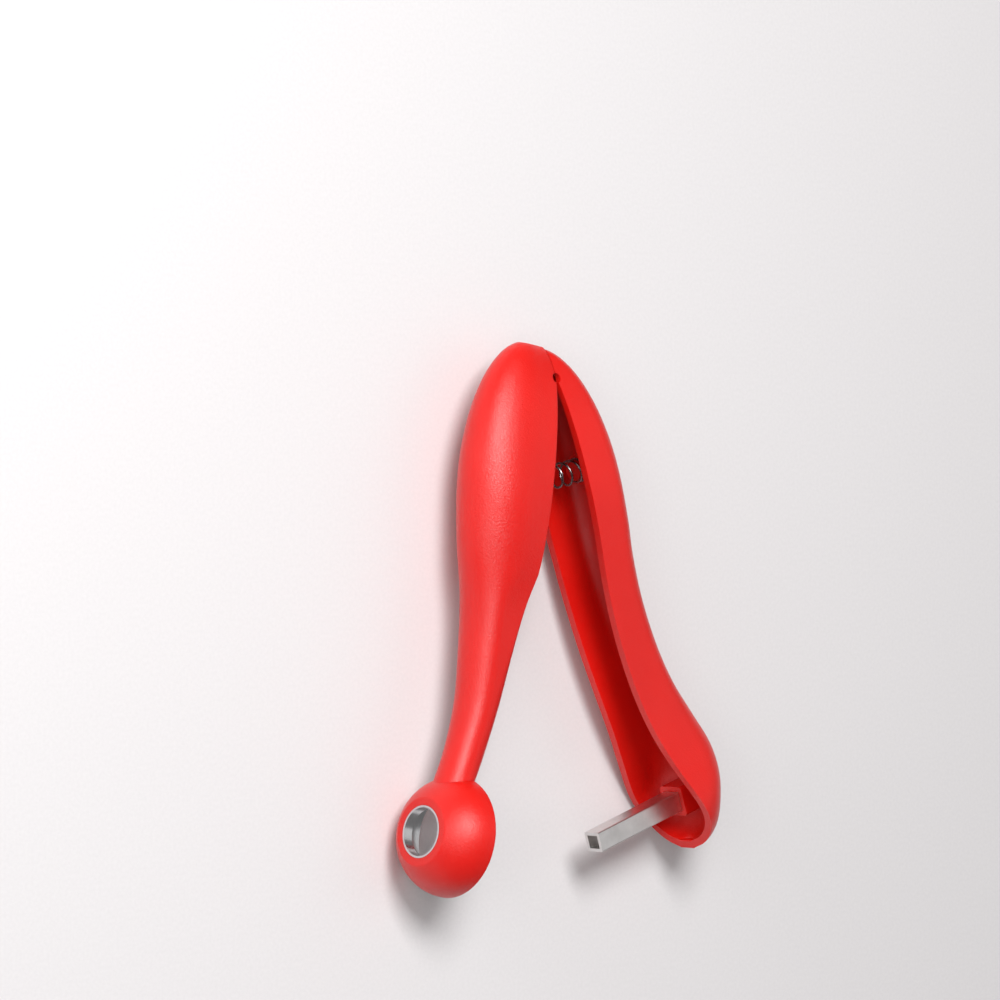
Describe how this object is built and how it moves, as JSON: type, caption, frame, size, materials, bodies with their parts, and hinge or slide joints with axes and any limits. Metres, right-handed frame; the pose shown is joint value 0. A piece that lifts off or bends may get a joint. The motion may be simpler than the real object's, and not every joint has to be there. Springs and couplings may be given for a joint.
{
  "type": "cherry pitter",
  "caption": "Hand-squeezed cherry pitter: two hinged moulded levers held open by a coil spring; a square steel plunger closes into a steel-lined cup with a round hole.",
  "frame": {"origin": "middle of the base of the open tool's bounding box, the tool lying on its side", "axes": "+Z along the hinge axis, +Y from the working end to the hinge end, +X from the cup lever to the plunger lever"},
  "size_m": [0.121, 0.1664, 0.0364],
  "materials": {
    "red_plastic": "satin moulded",
    "pressed_steel": "pressed stainless sheet",
    "bar_steel": "drawn stainless bar",
    "spring_wire": "drawn spring wire"
  },
  "bodies": {
    "plunger_side": {"plunger_lever": "red_plastic", "plunger": "bar_steel", "return_spring": "spring_wire"},
    "cup_side": {"cup_lever": "red_plastic", "cup_insert": "pressed_steel", "hinge_pin": "bar_steel"}
  },
  "joints": [
    {"name": "squeeze", "type": "hinge", "parent": "plunger_side", "child": "cup_side", "pos_m": [-0.01029, 0.07232, 0.0182], "axis": [0, 0, 1], "range_deg": [0, 26], "stiffness_Nm_per_rad": 0.8, "springref_deg": -9.17, "deforming": ["return_spring"]}
  ]
}
